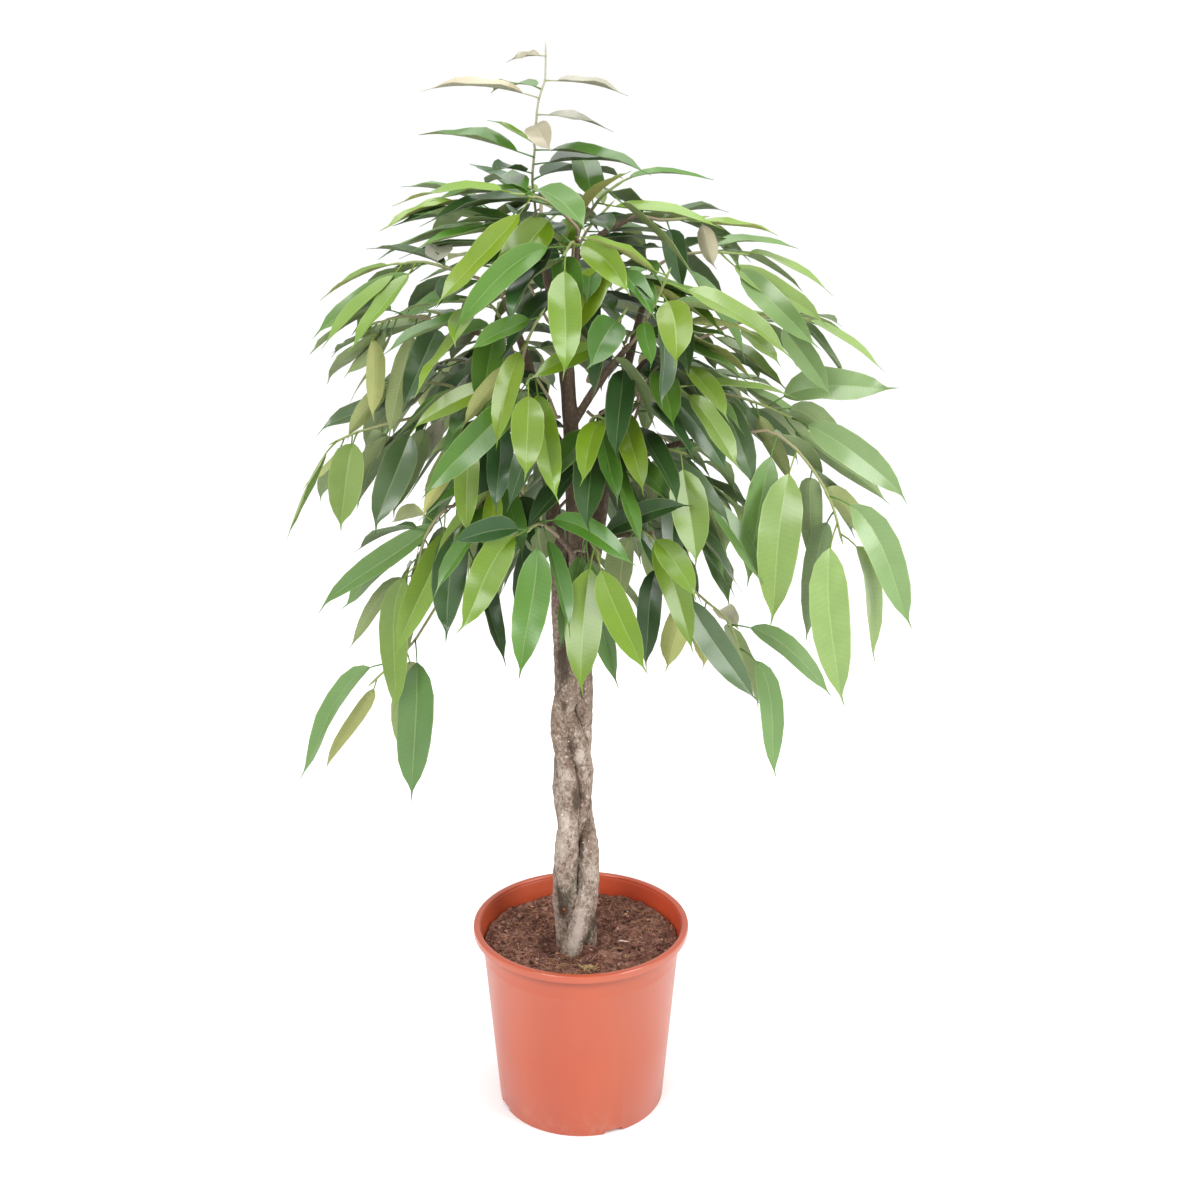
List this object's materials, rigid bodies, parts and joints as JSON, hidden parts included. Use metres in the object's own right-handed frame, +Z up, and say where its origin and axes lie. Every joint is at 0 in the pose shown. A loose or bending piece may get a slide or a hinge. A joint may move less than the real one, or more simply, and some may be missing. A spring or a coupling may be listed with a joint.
{
  "type": "potted braided ficus",
  "caption": "Tree-shaped houseplant in a round tapered nursery pot: a plaited bare trunk rooted in peat under a loose round crown of long hanging leaves.",
  "frame": {"origin": "on the pot's axis, at the flat middle of its underside, which rests on the floor", "axes": "+Z up along the pot's axis; -Y is the front, the side the plant is seen from; +X is to the right seen from the front"},
  "size_m": [0.723, 0.5261, 1.303],
  "materials": {
    "terracotta_plastic": "satin",
    "peat": "rough, fibrous",
    "bark": "rough",
    "young_leaf": "satin",
    "fresh_leaf": "glossy",
    "mature_leaf": "glossy",
    "deep_leaf": "glossy"
  },
  "bodies": {
    "root": {"back_low_left": "deep_leaf", "back_low_long": "deep_leaf", "back_low_right": "deep_leaf", "back_lowest": "deep_leaf", "back_mid_left": "deep_leaf", "back_mid_long": "deep_leaf", "back_mid_right": "deep_leaf", "crown_front": "fresh_leaf", "crown_right": "fresh_leaf", "front_centre": "fresh_leaf", "front_high": "fresh_leaf", "front_left": "fresh_leaf", "front_low_left": "fresh_leaf", "front_low_mid": "fresh_leaf", "front_low_right": "fresh_leaf", "front_mid_left": "fresh_leaf", "front_mid_right": "mature_leaf", "front_right": "fresh_leaf", "front_right_high": "fresh_leaf", "inner_centre": "deep_leaf", "inner_front": "deep_leaf", "inner_high": "deep_leaf", "inner_left": "deep_leaf", "inner_low_left": "deep_leaf", "inner_low_right": "deep_leaf", "inner_mid_left": "deep_leaf", "inner_mid_right": "deep_leaf", "inner_right": "deep_leaf", "leader_shoot": "young_leaf", "left_back_high": "deep_leaf", "left_back_inner": "deep_leaf", "left_back_long": "deep_leaf", "left_back_low": "deep_leaf", "left_high": "fresh_leaf", "left_long": "mature_leaf", "left_low": "mature_leaf", "left_lowest": "mature_leaf", "left_reach": "mature_leaf", "left_upper": "mature_leaf", "pot": "terracotta_plastic", "right_back_high": "deep_leaf", "right_back_inner": "deep_leaf", "right_back_long": "deep_leaf", "right_back_low": "deep_leaf", "right_crest": "mature_leaf", "right_high": "fresh_leaf", "right_inner": "mature_leaf", "right_long": "fresh_leaf", "right_low": "mature_leaf", "right_middle_front": "fresh_leaf", "right_reach": "mature_leaf", "right_upper": "fresh_leaf", "soil": "peat", "stem_back": "bark", "stem_front": "bark", "stem_left": "bark", "stem_right": "bark", "top_back_left": "deep_leaf", "top_back_long": "deep_leaf", "top_back_right": "deep_leaf"}
  },
  "joints": []
}
